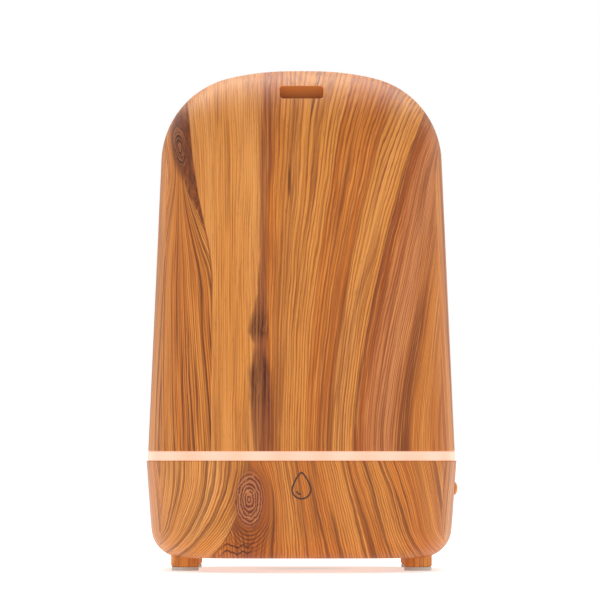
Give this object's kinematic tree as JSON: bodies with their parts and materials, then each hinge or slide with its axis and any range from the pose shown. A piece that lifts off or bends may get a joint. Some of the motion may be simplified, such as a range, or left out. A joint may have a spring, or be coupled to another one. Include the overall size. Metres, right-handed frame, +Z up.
{
  "type": "cool mist humidifier",
  "caption": "Tall soft-square ultrasonic humidifier in wood-grain plastic: lift-off cover with a mist slot, glowing band, water tank and a base on low feet.",
  "frame": {"origin": "middle of the footprint, on the plane that the foot pads rest on", "axes": "+Z up through the top of the cover, -Y towards the front with the mist slot, +X towards the side with the button"},
  "size_m": [0.1052, 0.1046, 0.1691],
  "materials": {
    "cover_wood_print": "satin moulded plastic with an all-over printed wood grain",
    "base_wood_print": "satin moulded plastic with an all-over printed wood grain",
    "foot_wood_print": "satin moulded plastic with a printed wood grain",
    "button_wood_print": "satin moulded plastic with a printed wood grain",
    "frosted_plastic": "milky translucent polypropylene, satin",
    "tank_plastic": "white food-grade polypropylene, satin",
    "silicone": "pale silicone rubber",
    "foot_rubber": "pale grey translucent rubber, matt",
    "underside_plastic": "dark fine-textured moulded plastic",
    "black_plastic": "black moulded plastic, matt",
    "fan_plastic": "black glass-filled plastic",
    "duct_plastic": "white moulded plastic",
    "white_board": "white solder-masked circuit board",
    "green_board": "green solder-masked circuit board",
    "chip_black": "black moulded component body",
    "socket_plastic": "off-white nylon wire socket",
    "switch_plunger": "black switch plunger",
    "jack_plastic": "black moulded plastic",
    "inductor": "ferrite drum with enamelled copper winding",
    "capacitor": "sleeved aluminium can",
    "heat_sink": "extruded aluminium, clear finish",
    "transducer_steel": "plated piezo disc with a glazed face",
    "plated_metal": "nickel-plated brass",
    "screw_steel": "zinc-plated steel",
    "fan_lead": "red insulated lead",
    "power_lead": "black insulated lead",
    "led_lead": "white insulated lead",
    "button_lead": "yellow insulated lead",
    "transducer_lead": "blue insulated lead",
    "light_ring": "opal light-guide plastic, lit warm white",
    "led_lamp": "surface-mount lamp with a clear face, lit warm white"
  },
  "bodies": {
    "root": {"base_housing": "base_wood_print", "bottom_cover": "underside_plastic", "bottom_screws": "screw_steel", "button_board": "green_board", "button_lead": "button_lead", "button_socket": "socket_plastic", "capacitor": "capacitor", "clamp_screws": "screw_steel", "dc_jack": "jack_plastic", "driver_transistor": "chip_black", "fan_duct": "duct_plastic", "fan_housing": "black_plastic", "fan_lead": "fan_lead", "fan_screws": "screw_steel", "fan_socket": "socket_plastic", "foot_1": "foot_wood_print", "foot_2": "foot_wood_print", "foot_3": "foot_wood_print", "foot_4": "foot_wood_print", "foot_pad_1": "foot_rubber", "foot_pad_2": "foot_rubber", "foot_pad_3": "foot_rubber", "foot_pad_4": "foot_rubber", "foot_screws": "screw_steel", "heat_sink": "heat_sink", "inductor": "inductor", "jack_nut": "plated_metal", "jack_pin": "plated_metal", "led_1": "led_lamp", "led_2": "led_lamp", "led_3": "led_lamp", "led_4": "led_lamp", "led_5": "led_lamp", "led_6": "led_lamp", "led_7": "led_lamp", "led_8": "led_lamp", "led_board": "white_board", "led_lead": "led_lead", "led_socket": "socket_plastic", "light_ring": "light_ring", "main_pcb": "green_board", "microcontroller": "chip_black", "pcb_screws": "screw_steel", "power_lead": "power_lead", "power_socket": "socket_plastic", "switch_body": "chip_black", "tank_screws": "screw_steel", "tank_seal": "silicone", "transducer_clamp": "black_plastic", "transducer_disc": "transducer_steel", "transducer_lead": "transducer_lead", "transducer_seal": "silicone", "transducer_socket": "socket_plastic", "water_tank": "tank_plastic"},
    "cover": {"top_cover": "cover_wood_print"},
    "lid": {"inner_lid": "frosted_plastic", "mist_tube": "frosted_plastic"},
    "rotor": {"fan_rotor": "fan_plastic"},
    "button": {"power_button": "button_wood_print"},
    "plunger": {"switch_plunger": "switch_plunger"}
  },
  "joints": [
    {"name": "cover_lift", "type": "slide", "parent": "root", "child": "cover", "axis": [0, 0, 1], "range_m": [0, 0.16]},
    {"name": "lid_lift", "type": "slide", "parent": "root", "child": "lid", "axis": [0, 0, 1], "range_m": [0, 0.04]},
    {"name": "fan_spin", "type": "hinge", "parent": "root", "child": "rotor", "pos_m": [0, 0.0115, 0.012], "axis": [0, 0, 1], "continuous": true},
    {"name": "button_press", "type": "slide", "parent": "root", "child": "button", "axis": [-1, 0, 0], "range_m": [0, 0.00035], "stiffness_N_per_m": 3000},
    {"name": "plunger_press", "type": "slide", "parent": "root", "child": "plunger", "axis": [-1, 0, 0], "range_m": [0, 0.00035]}
  ],
  "couplings": [
    {"joint": "lid_lift", "follows": "cover_lift", "ratio": 0.25},
    {"joint": "plunger_press", "follows": "button_press", "ratio": 1}
  ]
}
